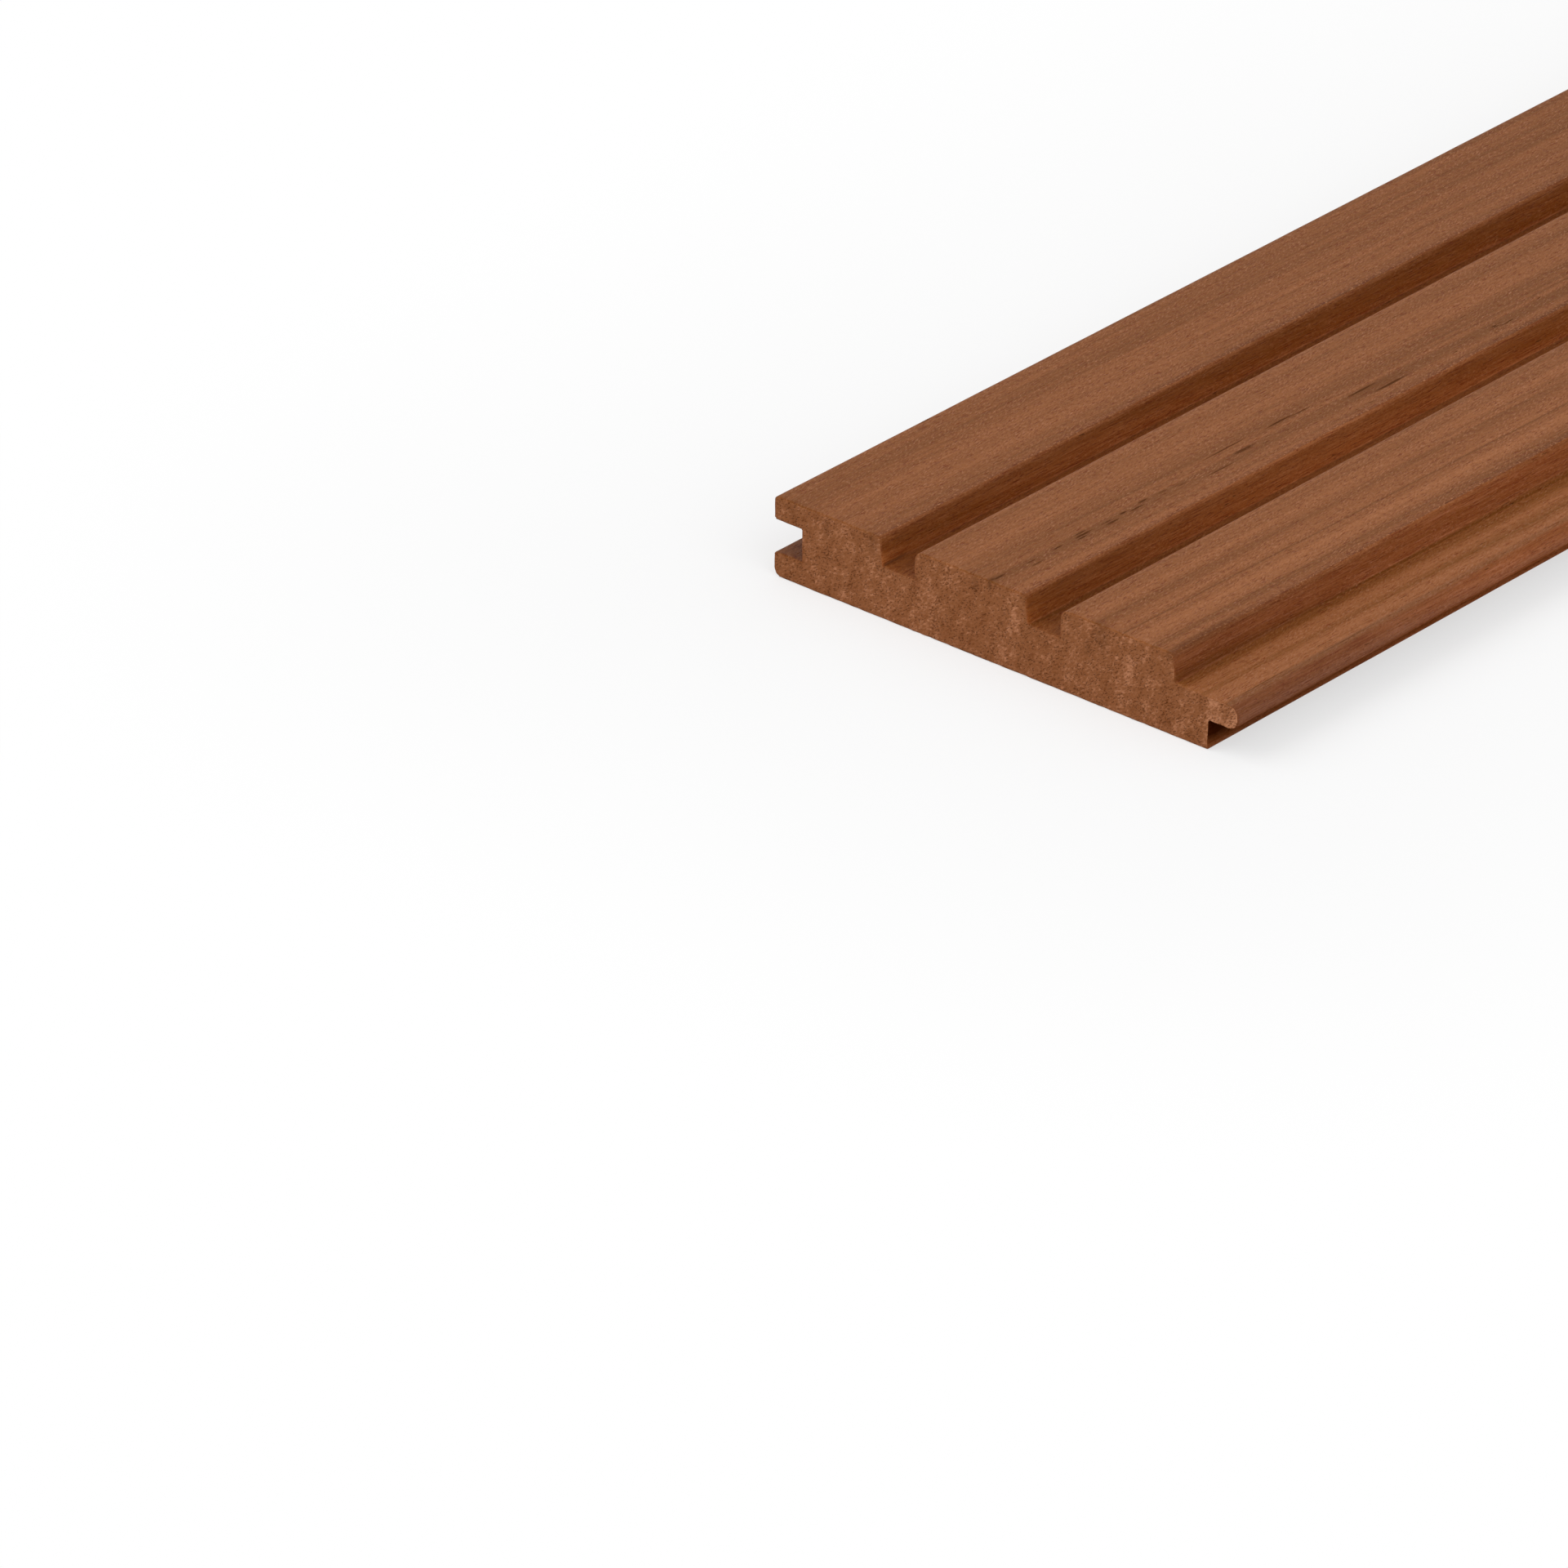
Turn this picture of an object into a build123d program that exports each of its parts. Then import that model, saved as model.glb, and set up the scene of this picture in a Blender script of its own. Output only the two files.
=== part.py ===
"""Tongue-and-groove cladding board, moulded from one length of timber.

The board lies on its back with the ribbed face up. X runs across the width towards the tongue,
Y along the length and Z from the back to the ribbed face. The origin is the centre of the
board's footprint on its back. All sizes are in millimetres.
"""

import math
import os

from build123d import *

# Blank
board_length = 1850.0
cover_width = 132.0  # from one fitted board to the next
joint_gap = 0.5  # left between fitted boards, so that the timber can swell
thickness = 21.0

# Ribbed face: ribs at an equal pitch, each followed by a channel with one sloping and one upright wall
rib_count = 3
channel_floor_width = 9.5  # between two ribs
ledge_width = 10.0  # from the last sloping wall to the tongue's root
channel_depth = 7.2
wall_draft = 7.0  # of the sloping walls, in degrees from upright

# Tongue on one edge, groove for the neighbour's tongue on the other
tongue_length = 8.5
tongue_thickness = 6.4
tongue_clearance = 1.0  # above and below the tongue
tongue_end_clearance = 0.5  # beyond the tip of the fitted tongue

# Cutter radii that round the edges
face_edge_radius = 1.2  # where the face meets the groove edge
rib_upright_radius = 2.3  # over the upright walls
rib_sloping_radius = 1.0  # over the sloping walls
lip_edge_radius = 0.9
back_edge_radius = 2.2
back_corner_radius = 0.6
tongue_nose_radius = 2.8
channel_corner_radius = 0.5
rounding_share = 0.49  # the most of a thin wall that one rounding takes

# Places that follow from the sizes above
face_width = cover_width - joint_gap
overall_width = face_width + tongue_length
groove_edge_x = -overall_width / 2
tongue_root_x = groove_edge_x + face_width
rib_pitch = cover_width / rib_count
channel_floor_z = thickness - channel_depth
wall_run = channel_depth * math.tan(math.radians(wall_draft))

# The tongue's upper face carries on from the channel floor
tongue_bottom_z = channel_floor_z - tongue_thickness
groove_bottom_z = tongue_bottom_z - tongue_clearance
groove_width = tongue_thickness + 2 * tongue_clearance
groove_depth = tongue_length - joint_gap + tongue_end_clearance

# No rounding takes more than its share of the lip or tongue that it is on
upper_lip_thickness = thickness - groove_bottom_z - groove_width
lower_lip_thickness = groove_bottom_z
thinner_lip = min(upper_lip_thickness, lower_lip_thickness)
face_radius = min(face_edge_radius, rounding_share * upper_lip_thickness)
upright_radius = min(rib_upright_radius, rounding_share * upper_lip_thickness)
sloping_radius = min(rib_sloping_radius, rounding_share * upper_lip_thickness)
lip_radius = min(lip_edge_radius, rounding_share * thinner_lip)
back_radius = min(back_edge_radius, rounding_share * lower_lip_thickness)
nose_radius = min(tongue_nose_radius, rounding_share * tongue_thickness)

low_left = (Align.MIN, Align.MIN)
floor_tolerance = 0.001

with BuildPart() as cladding_board:
    with BuildSketch(Plane.XZ) as section:
        # Planed blank, with the tongue left standing on one edge
        with Locations((groove_edge_x, 0)):
            Rectangle(face_width, thickness, align=low_left)
        with Locations((tongue_root_x, tongue_bottom_z)):
            Rectangle(tongue_length, tongue_thickness, align=low_left)

        # Groove that takes the tongue of the next board
        with Locations((groove_edge_x, groove_bottom_z)):
            Rectangle(groove_depth, groove_width, align=low_left, mode=Mode.SUBTRACT)

        # Channels between the ribs; the last one is open to the tongue and is closed by the
        # upright edge of the next board
        for rib in range(1, rib_count + 1):
            floor_start_x = tongue_root_x - ledge_width - (rib_count - rib) * rib_pitch
            floor_width = channel_floor_width if rib < rib_count else ledge_width
            floor_end_x = floor_start_x + floor_width
            with BuildLine():
                Polyline(
                    (floor_start_x - wall_run, thickness),
                    (floor_start_x, channel_floor_z),
                    (floor_end_x, channel_floor_z),
                    (floor_end_x, thickness),
                    close=True,
                )
            make_face(mode=Mode.SUBTRACT)

        # Each rounding gives the section new corners, so the next ones are picked afresh
        groove_edge = section.vertices().group_by(Axis.X)[0].sort_by(Axis.Y)
        fillet(groove_edge[1:3], radius=lip_radius)
        back = section.vertices().group_by(Axis.Y)[0].sort_by(Axis.X)
        fillet(back[0], radius=back_radius)
        back = section.vertices().group_by(Axis.Y)[0].sort_by(Axis.X)
        fillet(back[-1], radius=back_corner_radius)
        nose = section.vertices().group_by(Axis.X)[-1]
        fillet(nose, radius=nose_radius)
        rib_tops = section.vertices().group_by(Axis.Y)[-1].sort_by(Axis.X)
        fillet(rib_tops[0], radius=face_radius)
        rib_tops = section.vertices().group_by(Axis.Y)[-1].sort_by(Axis.X)
        fillet(rib_tops[2::2], radius=upright_radius)
        rib_tops = section.vertices().group_by(Axis.Y)[-1].sort_by(Axis.X)
        fillet(rib_tops[1::2], radius=sloping_radius)

        # The last corner on the channel floors' level is where the nose begins, and is left out
        floors = section.vertices().filter_by_position(
            Axis.Y, channel_floor_z - floor_tolerance, channel_floor_z + floor_tolerance
        )
        fillet(floors.sort_by(Axis.X)[:-1], radius=channel_corner_radius)
    extrude(amount=board_length / 2, both=True)

cladding_board.part.label = "cladding_board"

os.makedirs("parts", exist_ok=True)
export_step(cladding_board.part, "parts/cladding_board.step")
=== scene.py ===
"""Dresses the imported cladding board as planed, heat-treated timber and sets it in a plain studio.

The board is one length of timber. Its visible piece is the board's section carried along its length, with
softened arrises and sawn ends, and it wears two finishes: long grain on the planed faces and end grain on
the sawn ends. Both finishes read one timber pattern in three dimensions, so that bands and streaks run
from the faces into the ends.

The section is in millimetres from the groove edge and the back. The patterns are in millimetres from the
groove edge, the near end and the ribbed face. The meshes, lamps and camera are in metres, in the frame's
own axes.
"""

import logging
import math
from dataclasses import dataclass, field
from enum import Enum, IntEnum

import bpy
import numpy as np
from mathutils import Matrix, Vector


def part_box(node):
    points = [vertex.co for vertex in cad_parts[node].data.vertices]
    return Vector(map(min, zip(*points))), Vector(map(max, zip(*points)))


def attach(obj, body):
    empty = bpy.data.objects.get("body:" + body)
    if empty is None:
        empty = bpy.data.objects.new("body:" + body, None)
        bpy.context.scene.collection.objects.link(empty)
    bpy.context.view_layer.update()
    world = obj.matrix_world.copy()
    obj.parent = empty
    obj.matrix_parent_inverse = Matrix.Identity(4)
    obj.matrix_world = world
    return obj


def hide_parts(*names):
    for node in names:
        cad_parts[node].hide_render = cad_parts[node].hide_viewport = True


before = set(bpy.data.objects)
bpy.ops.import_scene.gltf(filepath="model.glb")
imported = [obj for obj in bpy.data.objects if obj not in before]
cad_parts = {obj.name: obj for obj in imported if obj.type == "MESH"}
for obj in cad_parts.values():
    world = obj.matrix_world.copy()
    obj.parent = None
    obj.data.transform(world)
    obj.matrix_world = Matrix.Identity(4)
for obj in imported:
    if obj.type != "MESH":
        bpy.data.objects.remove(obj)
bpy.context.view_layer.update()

BOARD_NODE = "cladding_board"
ROOT_BODY = "root"
BAKE_MAP = "OFBake"
FRAYED_AND_SHADED = "frayed_and_shaded"
SIDEWAYS = "sideways"
RECESS_SHADE = "recess_shade"
METRE = 0.001  # metres in a millimetre
SEED = 7

log = logging.getLogger("cladding_board")

Triple = tuple[float, float, float]
Colour = Triple
Span = tuple[float, float]  # the values at which a step is 0 and 1


class Face(IntEnum):
    """Material slots of the board's mesh."""

    LONG_GRAIN = 0
    END_GRAIN = 1


class Ray(Enum):
    """Kinds of ray that see the white surroundings, by their output on the Light Path node."""

    CAMERA = "Is Camera Ray"
    GLOSSY = "Is Glossy Ray"
    TRANSMISSION = "Is Transmission Ray"


# Shader expressions


class Field:
    """A shader socket that takes part in Python arithmetic, each operator adding a Math node."""

    def __init__(self, graph: "Graph", socket: bpy.types.NodeSocket) -> None:
        """Wrap a socket of a graph."""
        self.graph = graph
        self.socket = socket

    def __add__(self, other: "Field | float") -> "Field":
        """Sum of two values."""
        return self.graph.math("ADD", self, other)

    def __radd__(self, other: float) -> "Field":
        """Sum with a plain number on the left."""
        return self.graph.math("ADD", other, self)

    def __sub__(self, other: "Field | float") -> "Field":
        """Difference of two values."""
        return self.graph.math("SUBTRACT", self, other)

    def __rsub__(self, other: float) -> "Field":
        """Difference from a plain number."""
        return self.graph.math("SUBTRACT", other, self)

    def __mul__(self, other: "Field | float") -> "Field":
        """Product of two values."""
        return self.graph.math("MULTIPLY", self, other)

    def __rmul__(self, other: float) -> "Field":
        """Product with a plain number on the left."""
        return self.graph.math("MULTIPLY", other, self)

    def __truediv__(self, other: "Field | float") -> "Field":
        """Quotient of two values."""
        return self.graph.math("DIVIDE", self, other)

    def __abs__(self) -> "Field":
        """Distance from zero."""
        return self.graph.math("ABSOLUTE", self)

    def most(self, other: "Field | float") -> "Field":
        """The larger of two values."""
        return self.graph.math("MAXIMUM", self, other)

    def ramp(self, low: float, high: float) -> "Field":
        """Straight ramp from 0 at the low value to 1 at the high one."""
        ends = {"From Min": low, "From Max": high, "To Min": 0.0, "To Max": 1.0}
        return self.graph.add("ShaderNodeMapRange", {"clamp": True}, {"Value": self, **ends}, "Result")

    def step(self, low: float, high: float) -> "Field":
        """Smooth step of the value.

        Args:
            low: the value at which the step is 0.
            high: the value at which it is 1, which may be the lower of the two.

        Returns:
            A value from 0 to 1.
        """
        settings = {"interpolation_type": "SMOOTHSTEP", "clamp": True}
        if low < high:
            ends = {"From Min": low, "From Max": high, "To Min": 0.0, "To Max": 1.0}
        else:
            ends = {"From Min": high, "From Max": low, "To Min": 1.0, "To Max": 0.0}
        return self.graph.add("ShaderNodeMapRange", settings, {"Value": self, **ends}, "Result")


class Graph:
    """The nodes of one material or world, added from Python expressions."""

    def __init__(self, owner: bpy.types.Material | bpy.types.World) -> None:
        """Start an empty node tree on its owner."""
        owner.use_nodes = True
        self.tree = owner.node_tree
        self.tree.nodes.clear()

    def add(
        self,
        kind: str,
        settings: dict[str, object] | None = None,
        inputs: dict[str, object] | None = None,
        output: str = "",
    ) -> Field:
        """Add one node.

        Args:
            kind: the node's type.
            settings: properties of the node, set before its sockets.
            inputs: a number, colour, vector or Field for each input, by its identifier or name.
            output: the identifier or name of the output wanted, or nothing for the first.

        Returns:
            The output as a Field.
        """
        node = self.tree.nodes.new(kind)
        for name, value in (settings or {}).items():
            setattr(node, name, value)
        for name, value in (inputs or {}).items():
            socket = self.pick(node.inputs, name)
            if isinstance(value, Field):
                self.tree.links.new(value.socket, socket)
            else:
                socket.default_value = value
        return Field(self, self.pick(node.outputs, output) if output else node.outputs[0])

    @staticmethod
    def pick(sockets: bpy.types.bpy_prop_collection, name: str) -> bpy.types.NodeSocket:
        """Find a socket by its identifier, or else by its name."""
        exact = [socket for socket in sockets if socket.identifier == name]
        return exact[0] if exact else sockets[name]

    def math(self, operation: str, *values: Field | float) -> Field:
        """Add a Math node.

        Args:
            operation: the node's operation.
            values: its operands in order.

        Returns:
            The result.
        """
        identifiers = ("Value", "Value_001", "Value_002")
        return self.add("ShaderNodeMath", {"operation": operation}, dict(zip(identifiers, values)))

    def blend(
        self, factor: Field | float, first: Field | Colour, second: Field | Colour, how: str = "MIX"
    ) -> Field:
        """Mix two colours.

        Args:
            factor: 0 for the first colour, 1 for the second.
            first: a colour or a Field of colours.
            second: a colour or a Field of colours.
            how: the blend type.

        Returns:
            The mixed colour.
        """
        whole = {name: value if isinstance(value, Field) else (*value, 1.0)
                 for name, value in (("A_Color", first), ("B_Color", second))}
        settings = {"data_type": "RGBA", "blend_type": how, "clamp_factor": True}
        return self.add("ShaderNodeMix", settings, {"Factor_Float": factor, **whole}, "Result_Color")

    def principled(
        self,
        colour: Field,
        roughness: Field | float,
        specular: float,
        lift: Field | None = None,
        relief: float = 0.0,
    ) -> Field:
        """Add a Principled shader.

        Args:
            colour: its base colour.
            roughness: its roughness.
            specular: its specular level.
            lift: the height of its bumps, from 0 to 1, or nothing for none.
            relief: their height in metres at a lift of 1.

        Returns:
            The shader.
        """
        inputs = {"Base Color": colour, "Roughness": roughness, "Specular IOR Level": specular}
        if lift is not None:
            bump = {"Height": lift, "Distance": relief, "Strength": 1.0}
            inputs["Normal"] = self.add("ShaderNodeBump", None, bump, "Normal")
        return self.add("ShaderNodeBsdfPrincipled", None, inputs, "BSDF")

    def mix_shaders(self, factor: Field, first: Field, second: Field) -> Field:
        """Mix two shaders, from the first at a factor of 0 to the second at 1."""
        inputs = {"Fac": factor, "Shader": first, "Shader_001": second}
        return self.add("ShaderNodeMixShader", None, inputs)

    def attribute(self, name: str) -> Field:
        """Read one of the mesh's own attributes."""
        return self.add("ShaderNodeAttribute", {"attribute_name": name}, None, "Fac")

    def add_output(self, shader: Field, kind: str = "ShaderNodeOutputMaterial") -> None:
        """Send a shader to the output of the material or world."""
        node = self.tree.nodes.new(kind)
        self.tree.links.new(shader.socket, node.inputs["Surface"])

    def vector(self, x: Field | float, y: Field | float, z: Field | float) -> Field:
        """Join three values into a vector."""
        return self.add("ShaderNodeCombineXYZ", None, {"X": x, "Y": y, "Z": z})

    def noise(self, where: Field, detail: float = 1.0, roughness: float = 0.5) -> Field:
        """Fractal noise about 0.5.

        Args:
            where: the point, already divided by the size of the noise's features.
            detail: octaves beyond the first.
            roughness: strength of each octave beside the one before.

        Returns:
            A value from 0 to 1.
        """
        inputs = {"Vector": where, "Scale": 1.0, "Detail": detail, "Roughness": roughness}
        return self.add("ShaderNodeTexNoise", {"noise_dimensions": "3D"}, inputs)


# The timber and its finishes


@dataclass(frozen=True)
class Texture:
    """Fractal noise with features of a given size."""

    size: Triple  # of the features, along each of the three values that it is read at
    detail: float = 1.0  # octaves beyond the first
    roughness: float = 0.5  # strength of each octave beside the one before
    shift: float = 0.0  # along the last value, away from other textures of the same size

    def read(self, graph: Graph, *where: Field) -> Field:
        """Add the nodes that read the noise.

        Args:
            graph: the material's nodes.
            where: three values in millimetres.

        Returns:
            A value from 0 to 1, mostly near 0.5.
        """
        x, y, z = (value / extent for value, extent in zip(where, self.size))
        point = graph.vector(x, y, z + self.shift if self.shift else z)
        return graph.noise(point, self.detail, self.roughness)


@dataclass(frozen=True)
class Mark:
    """A mark on the timber that shows where a texture passes a limit."""

    edge: Span  # values of the texture at which the mark is absent and whole
    share: float  # how much of the colour below a whole mark covers

    def lay(self, texture: Field, below: Field, ink: Colour, where: Field | float = 1.0) -> Field:
        """Lay the mark over a colour.

        Args:
            texture: the texture that it follows.
            below: the colour below it.
            ink: its own colour.
            where: how strongly it shows.

        Returns:
            The marked colour.
        """
        return texture.graph.blend(texture.step(*self.edge) * (where * self.share), below, ink)


@dataclass(frozen=True)
class GrainBand:
    """A band of timber, darker and greyer than the rest, or lighter where its strength is negative."""

    at: float  # millimetres from the groove edge, on the ribbed face at the near end
    rise: float  # over which it sets in, on the groove side
    fall: float  # over which it fades, on the tongue side
    strength: float


@dataclass(frozen=True)
class MineralStreak:
    """A thin dark line along the grain, within a long ellipsoid of the timber."""

    across: float  # millimetres from the groove edge
    along: float  # from the near end
    below: float  # under the ribbed face
    half_width: float
    half_length: float
    strength: float


@dataclass(frozen=True)
class Pattern:
    """The timber's pattern at the point being shaded."""

    across: Field  # millimetres from the groove edge
    along: Field  # from the near end
    below: Field  # under the ribbed face
    ring: Field  # where the point's growth ring meets the ribbed face at the near end
    late: Field  # 1 at the start of a growth ring, falling to 0 within it
    tone: Field  # about 0.5, higher where the timber is darker
    mineral: Field  # 0 for clean timber to 1 for a dark line


@dataclass(frozen=True)
class Timber:
    """The three-dimensional pattern of the timber: its rings, bands and mineral streaks, in millimetres."""

    half_width: float
    half_length: float
    thickness: float
    ring_lean: float = 0.3  # sideways run of the growth rings for each millimetre of depth
    grain_slope: float = 0.021  # sideways run of the grain along the board
    bend: float = 14.0  # how far the grain strays sideways over the board's length
    bend_length: float = 420.0
    bend_from: Span = (160.0, 600.0)  # before which it runs straight
    ripple: float = 0.9  # how far single rings stray
    ripples: Texture = Texture((45.0, 9.0, 9.0))
    first_ring: float = 1.1
    ring_spacing: float = 8.72
    late_rise: Span = (0.0, 0.04)  # shares of a ring over which its late wood sets in
    late_fall: Span = (0.4, 0.0)  # and fades
    late_tone: float = 0.06
    mean_tone: float = 0.52
    growth: tuple[tuple[Texture, float], ...] = (  # broad, medium and narrow lines, with their strengths
        (Texture((7.0, 600.0, 40.0)), 0.9),
        (Texture((1.5, 160.0, 20.0), 2.0), 1.0),
        (Texture((0.55, 26.0, 3.0), 2.0), 0.55),
    )
    further_tone: float = 0.09  # how much darker the timber is past its near end
    further_from: Span = (60.0, 200.0)
    lines: Texture = Texture((0.45, 5.0, 0.5), 2.0)
    line_edge: Span = (0.7, 0.77)
    patches: Texture = Texture((1.5, 16.0, 1.5))
    patch_edge: Span = (0.56, 0.7)
    patch_lift: float = 0.17  # brings more of the lines out within a patch
    patches_from: Span = (150.0, 175.0)  # the nearer lines are listed one by one
    streaked_ring: float = 66.5  # the middle of the band that carries the lines
    streaked_reach: Span = (6.5, 1.0)  # from that middle
    streak_wander: float = 0.4  # how far the streaks' edges stray
    streak_edge: Span = (1.2, 0.4)  # shares of a streak's size over which it sets in
    bands: tuple[GrainBand, ...] = (
        GrainBand(8.0, 20.0, 3.2, 0.27),
        GrainBand(12.3, 1.4, 2.2, -0.12),
        GrainBand(14.5, 3.0, 3.0, 0.1),
        GrainBand(29.5, 3.5, 4.0, 0.16),
        GrainBand(46.4, 4.5, 1.5, 0.24),
        GrainBand(50.6, 0.4, 0.5, -0.15),
        GrainBand(53.5, 3.0, 2.2, -0.2),
        GrainBand(59.5, 3.0, 4.0, 0.1),
        GrainBand(62.5, 1.2, 1.4, 0.18),
        GrainBand(66.5, 3.4, 2.6, 0.48),
        GrainBand(70.0, 2.6, 3.0, 0.2),
        GrainBand(74.5, 2.0, 2.0, -0.1),
        GrainBand(90.5, 2.0, 2.4, 0.02),
        GrainBand(93.5, 2.5, 3.0, -0.3),
        GrainBand(97.6, 0.8, 4.5, 0.27),
        GrainBand(103.0, 2.0, 2.0, -0.1),
        GrainBand(105.3, 0.3, 0.7, 0.6),
        GrainBand(110.0, 3.5, 4.0, -0.38),
        GrainBand(114.2, 0.3, 0.8, 0.38),
        GrainBand(115.4, 1.0, 2.8, 0.3),
        GrainBand(122.9, 0.9, 0.7, 0.55),
        GrainBand(124.6, 2.0, 2.4, 0.14),
        GrainBand(127.4, 2.4, 2.4, -0.24),
        GrainBand(129.2, 2.5, 2.2, -0.36),
        GrainBand(132.0, 0.3, 0.5, 0.24),
        GrainBand(134.6, 2.0, 2.4, -0.1),
    )
    streaks: tuple[MineralStreak, ...] = (
        MineralStreak(1.0, 53.5, 0.3, 0.5, 2.4, 0.6),
        MineralStreak(6.0, 0.8, 2.2, 2.0, 1.2, 0.22),
        MineralStreak(16.0, 0.4, 3.8, 1.6, 1.0, 0.2),
        MineralStreak(30.5, 0.4, 2.5, 2.0, 1.0, 0.24),
        # painted shade: a dark line in the crease at the foot of the wall nearest the groove, near the end
        MineralStreak(33.7, 3.0, 6.9, 0.3, 8.0, 0.7),
        MineralStreak(61.2, 0.4, 2.5, 1.5, 1.0, 0.24),
        MineralStreak(65.8, 1.2, 1.2, 0.9, 1.6, 1.0),
        MineralStreak(95.3, 0.4, 7.0, 1.4, 1.0, 0.2),
        MineralStreak(99.5, 0.4, 3.0, 2.6, 1.0, 0.28),
        MineralStreak(119.2, 12.0, 0.4, 1.3, 20.0, 0.38),
        MineralStreak(136.2, 14.0, 7.2, 0.22, 12.0, 0.55),
        MineralStreak(137.0, 42.0, 7.3, 0.22, 16.0, 0.5),
        MineralStreak(138.7, 7.0, 8.2, 0.2, 5.5, 0.8),
        MineralStreak(138.3, 23.0, 7.9, 0.18, 4.0, 0.7),
        MineralStreak(138.6, 33.0, 8.1, 0.18, 5.0, 0.6),
        MineralStreak(66.1, 3.0, 0.0, 0.45, 2.6, 0.9),
        MineralStreak(66.6, 14.0, 0.0, 0.3, 2.4, 0.6),
        MineralStreak(68.3, 14.4, 0.0, 0.3, 2.6, 0.7),
        MineralStreak(66.7, 23.6, 0.0, 0.36, 1.9, 1.0),
        MineralStreak(65.8, 32.6, 0.0, 0.3, 2.4, 0.8),
        MineralStreak(66.8, 32.4, 0.0, 0.4, 3.6, 1.0),
        MineralStreak(67.7, 31.4, 0.0, 0.35, 2.2, 0.9),
        MineralStreak(66.8, 41.4, 0.0, 0.3, 2.3, 0.7),
        MineralStreak(67.8, 42.3, 0.0, 0.36, 2.9, 0.9),
        MineralStreak(66.7, 47.3, 0.0, 0.36, 1.4, 1.0),
        MineralStreak(67.5, 51.4, 0.0, 0.36, 2.9, 0.9),
        MineralStreak(66.2, 55.2, 0.0, 0.4, 2.0, 0.9),
        MineralStreak(66.5, 62.0, 0.0, 0.4, 1.8, 0.5),
        MineralStreak(67.6, 68.0, 0.0, 0.3, 2.0, 0.6),
        MineralStreak(69.4, 80.5, 0.0, 0.28, 6.0, 0.8),
        MineralStreak(63.4, 89.0, 0.0, 0.32, 10.0, 0.85),
        MineralStreak(64.2, 108.0, 0.0, 1.2, 13.0, 0.16),
        MineralStreak(66.9, 91.8, 0.0, 0.7, 4.6, 0.8),
        MineralStreak(68.4, 98.0, 0.0, 0.3, 1.6, 0.6),
        MineralStreak(63.9, 109.0, 0.0, 0.4, 6.6, 1.0),
        MineralStreak(64.3, 116.0, 0.0, 0.3, 5.0, 0.8),
        MineralStreak(69.6, 139.0, 0.0, 2.4, 11.0, 0.18),
        MineralStreak(68.0, 135.0, 0.0, 0.45, 6.6, 0.9),
        MineralStreak(71.0, 142.2, 0.0, 0.5, 7.4, 0.95),
    )

    def read(self, graph: Graph) -> Pattern:
        """Add the nodes that read the pattern.

        Args:
            graph: the material's nodes.

        Returns:
            The pattern at the point being shaded.
        """
        point = graph.add("ShaderNodeTexCoord", output="Object")
        split = [graph.add("ShaderNodeSeparateXYZ", None, {"Vector": point}, axis) for axis in "XYZ"]
        x, y, z = (value / METRE for value in split)
        across, along, below = x + self.half_width, y + self.half_length, self.thickness - z
        ring = self.ring(graph, across, along, below)
        cycle = graph.math("FRACT", (ring - self.first_ring) / self.ring_spacing)
        late = cycle.step(*self.late_fall) * cycle.step(*self.late_rise)
        tone = self.tone(graph, ring, late, along, below)
        mineral = self.mineral(graph, across, along, below, ring)
        return Pattern(across, along, below, ring, late, tone, mineral)

    def ring(self, graph: Graph, across: Field, along: Field, below: Field) -> Field:
        """Which growth ring a point lies in.

        Rings lean with depth, run off the board's line along the grain and wander a little.

        Args:
            graph: the material's nodes.
            across: millimetres from the groove edge.
            along: millimetres from the near end.
            below: millimetres below the ribbed face.

        Returns:
            The place where the point's ring meets the ribbed face at the near end.
        """
        slow = graph.noise(graph.vector(along / self.bend_length, 0.0, 0.0)) - 0.5
        quick = self.ripples.read(graph, along, across, below) - 0.5
        straight = across + below * self.ring_lean - along * self.grain_slope
        return straight + slow * along.step(*self.bend_from) * self.bend + quick * self.ripple

    def tone(self, graph: Graph, ring: Field, late: Field, along: Field, below: Field) -> Field:
        """How dark and grey the timber is, from its rings and bands and from its growth lines.

        Args:
            graph: the material's nodes.
            ring: the growth ring.
            late: 1 at the start of a ring, falling to 0 within it.
            along: millimetres from the near end.
            below: millimetres below the ribbed face.

        Returns:
            A value about 0.5, higher where the timber is darker.
        """
        total = late * self.late_tone + self.mean_tone
        for texture, strength in self.growth:
            total = total + (texture.read(graph, ring, along, below) - 0.5) * strength
        total = total + along.step(*self.further_from) * self.further_tone
        for band in self.bands:
            start = (ring - band.at).step(-band.rise, 0.0)
            total = total + start * (ring - band.at).step(band.fall, 0.0) * band.strength
        return total

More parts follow.
